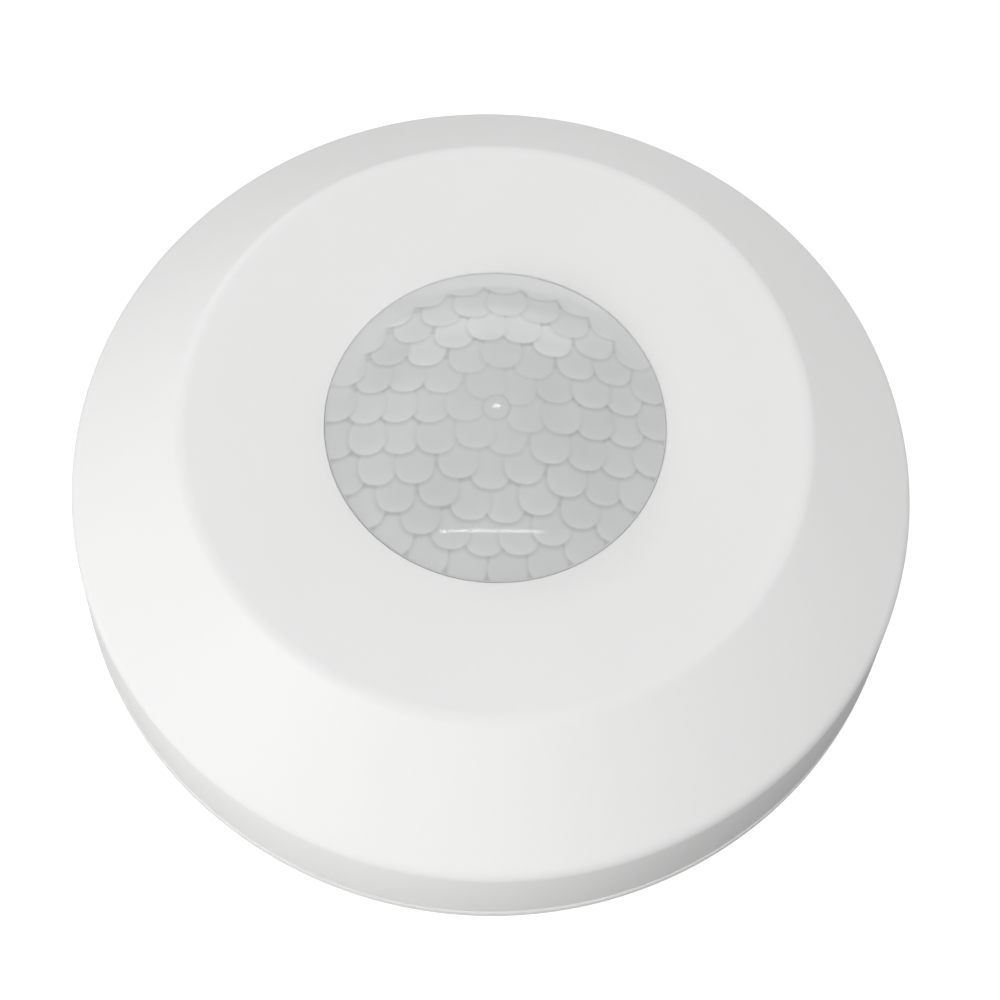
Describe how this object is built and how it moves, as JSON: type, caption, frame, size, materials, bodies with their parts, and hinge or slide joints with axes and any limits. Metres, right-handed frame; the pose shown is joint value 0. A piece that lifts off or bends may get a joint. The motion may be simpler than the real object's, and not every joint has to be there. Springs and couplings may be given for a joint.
{
  "type": "ceiling motion sensor",
  "caption": "Round ceiling motion sensor: domed faceted lens in a white cover that clips over a circuit-board head, turned by bayonet onto a mounting base.",
  "frame": {"origin": "centre of the mounting base's back face, on the ceiling plane", "axes": "+Z points from the ceiling into the room, along the lens axis; -Y is the side of the terminal block"},
  "size_m": [0.115, 0.115, 0.0376],
  "materials": {
    "cover_white": "satin moulded ABS",
    "lens_milky": "translucent milky polyethylene",
    "base_white": "fine matt moulded ABS",
    "rubber_black": "matt",
    "board_green": "solder mask over glass laminate",
    "screw_steel": "zinc plated",
    "can_metal": "nickel plated, drawn",
    "filter_dark": "polished infrared filter",
    "led_red": "clear tinted epoxy",
    "terminal_green": "satin moulded",
    "component_black": "matt moulded",
    "component_blue": "satin moulded",
    "capacitor_sleeve": "shrunk sleeve",
    "switch_white": "satin moulded",
    "pin_gilt": "gilt"
  },
  "bodies": {
    "base": {"mounting_base": "base_white", "cable_grommet": "rubber_black"},
    "head": {"rear_housing": "base_white", "circuit_board": "board_green", "pcb_screw_1": "screw_steel", "pcb_screw_2": "screw_steel", "pcb_screw_3": "screw_steel", "sensor_holder": "base_white", "pyro_sensor_can": "can_metal", "pyro_sensor_window": "filter_dark", "status_led": "led_red", "terminal_block": "terminal_green", "alarm_relay": "component_black", "capacitor_large": "capacitor_sleeve", "capacitor_small": "capacitor_sleeve", "controller_chip": "component_black", "amplifier_chip": "component_black", "tamper_switch_body": "component_black", "dip_switch_body": "component_blue", "trimmer_body": "component_blue", "jumper_block": "component_black", "jumper_pin_1": "pin_gilt", "jumper_pin_2": "pin_gilt"},
    "cover": {"front_cover": "cover_white", "fresnel_lens": "lens_milky", "lens_retainer_ring": "component_black"},
    "tamper_plunger": {"tamper_plunger": "switch_white"},
    "dip_slider_1": {"dip_slider_1": "switch_white"},
    "dip_slider_2": {"dip_slider_2": "switch_white"},
    "dip_slider_3": {"dip_slider_3": "switch_white"},
    "trimmer_rotor": {"trimmer_rotor": "switch_white"},
    "jumper_cap": {"jumper_cap": "component_blue"},
    "terminal_screw_1": {"terminal_screw_1": "screw_steel"},
    "terminal_screw_2": {"terminal_screw_2": "screw_steel"},
    "terminal_screw_3": {"terminal_screw_3": "screw_steel"},
    "terminal_screw_4": {"terminal_screw_4": "screw_steel"},
    "terminal_screw_5": {"terminal_screw_5": "screw_steel"},
    "terminal_screw_6": {"terminal_screw_6": "screw_steel"}
  },
  "joints": [
    {"name": "head_twist", "type": "hinge", "parent": "base", "child": "head", "pos_m": [0, 0, 0], "axis": [0, 0, 1], "range_deg": [0, 16]},
    {"name": "cover_lift", "type": "slide", "parent": "head", "child": "cover", "axis": [0, 0, 1], "range_m": [0, 0.055]},
    {"name": "tamper_press", "type": "slide", "parent": "head", "child": "tamper_plunger", "axis": [0, 0, 1], "range_m": [-0.0008, 0]},
    {"name": "option_switch_1", "type": "slide", "parent": "head", "child": "dip_slider_1", "axis": [0, 1, 0], "range_m": [0, 0.0013]},
    {"name": "option_switch_2", "type": "slide", "parent": "head", "child": "dip_slider_2", "axis": [0, 1, 0], "range_m": [0, 0.0013]},
    {"name": "option_switch_3", "type": "slide", "parent": "head", "child": "dip_slider_3", "axis": [0, 1, 0], "range_m": [0, 0.0013]},
    {"name": "sensitivity_turn", "type": "hinge", "parent": "head", "child": "trimmer_rotor", "pos_m": [0.027, -0.006, 0.0147], "axis": [0, 0, 1], "range_deg": [-135, 135]},
    {"name": "jumper_pull", "type": "slide", "parent": "head", "child": "jumper_cap", "axis": [0, 0, 1], "range_m": [0, 0.008]},
    {"name": "terminal_turn_1", "type": "hinge", "parent": "head", "child": "terminal_screw_1", "pos_m": [-0.0127, -0.0318, 0.0179], "axis": [0, 0, 1], "continuous": true},
    {"name": "terminal_turn_2", "type": "hinge", "parent": "head", "child": "terminal_screw_2", "pos_m": [-0.00762, -0.0318, 0.0179], "axis": [0, 0, 1], "continuous": true},
    {"name": "terminal_turn_3", "type": "hinge", "parent": "head", "child": "terminal_screw_3", "pos_m": [-0.00254, -0.0318, 0.0179], "axis": [0, 0, 1], "continuous": true},
    {"name": "terminal_turn_4", "type": "hinge", "parent": "head", "child": "terminal_screw_4", "pos_m": [0.00254, -0.0318, 0.0179], "axis": [0, 0, 1], "continuous": true},
    {"name": "terminal_turn_5", "type": "hinge", "parent": "head", "child": "terminal_screw_5", "pos_m": [0.00762, -0.0318, 0.0179], "axis": [0, 0, 1], "continuous": true},
    {"name": "terminal_turn_6", "type": "hinge", "parent": "head", "child": "terminal_screw_6", "pos_m": [0.0127, -0.0318, 0.0179], "axis": [0, 0, 1], "continuous": true}
  ]
}
